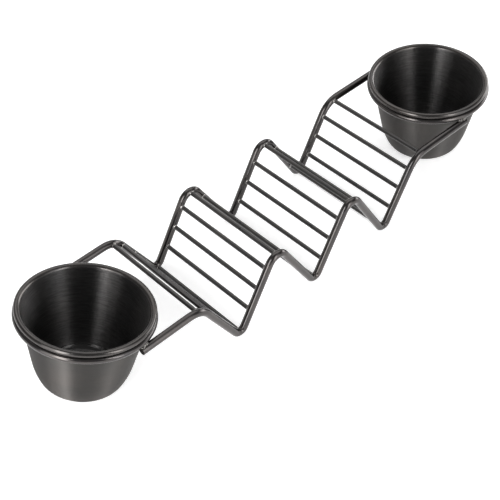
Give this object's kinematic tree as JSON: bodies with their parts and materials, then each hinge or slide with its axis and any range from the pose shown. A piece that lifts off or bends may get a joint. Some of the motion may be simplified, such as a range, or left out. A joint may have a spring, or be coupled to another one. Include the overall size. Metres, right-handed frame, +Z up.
{
  "type": "taco holder",
  "caption": "Bent and welded wire rack that stands tacos upright in its slots, with a wire ring at each end that carries a lift-out round sauce cup.",
  "frame": {"origin": "on the table under the middle of the rack", "axes": "+X along the rack from the left cup to the right cup, +Y from the front rail to the rear rail, +Z up"},
  "size_m": [0.3354, 0.0744, 0.0588],
  "materials": {
    "rack_wire": "gloss gunmetal plating",
    "cup_steel": "satin gunmetal plating, spun inside"
  },
  "bodies": {
    "root": {"cup_left": "cup_steel", "cup_right": "cup_steel", "peak_bar_1": "rack_wire", "peak_bar_2": "rack_wire", "rail_front": "rack_wire", "rail_rear": "rack_wire", "ring_left": "rack_wire", "ring_right": "rack_wire", "shoulder_bar_left": "rack_wire", "shoulder_bar_right": "rack_wire", "slope_bar_1_left_1": "rack_wire", "slope_bar_1_left_2": "rack_wire", "slope_bar_1_left_3": "rack_wire", "slope_bar_1_right_1": "rack_wire", "slope_bar_1_right_2": "rack_wire", "slope_bar_1_right_3": "rack_wire", "slope_bar_2_left_1": "rack_wire", "slope_bar_2_left_2": "rack_wire", "slope_bar_2_left_3": "rack_wire", "slope_bar_2_right_1": "rack_wire", "slope_bar_2_right_2": "rack_wire", "slope_bar_2_right_3": "rack_wire", "slope_bar_3_left_1": "rack_wire", "slope_bar_3_left_2": "rack_wire", "slope_bar_3_left_3": "rack_wire", "slope_bar_3_right_1": "rack_wire", "slope_bar_3_right_2": "rack_wire", "slope_bar_3_right_3": "rack_wire", "slot_bar_1": "rack_wire", "slot_bar_2": "rack_wire", "slot_bar_3": "rack_wire"}
  },
  "joints": []
}
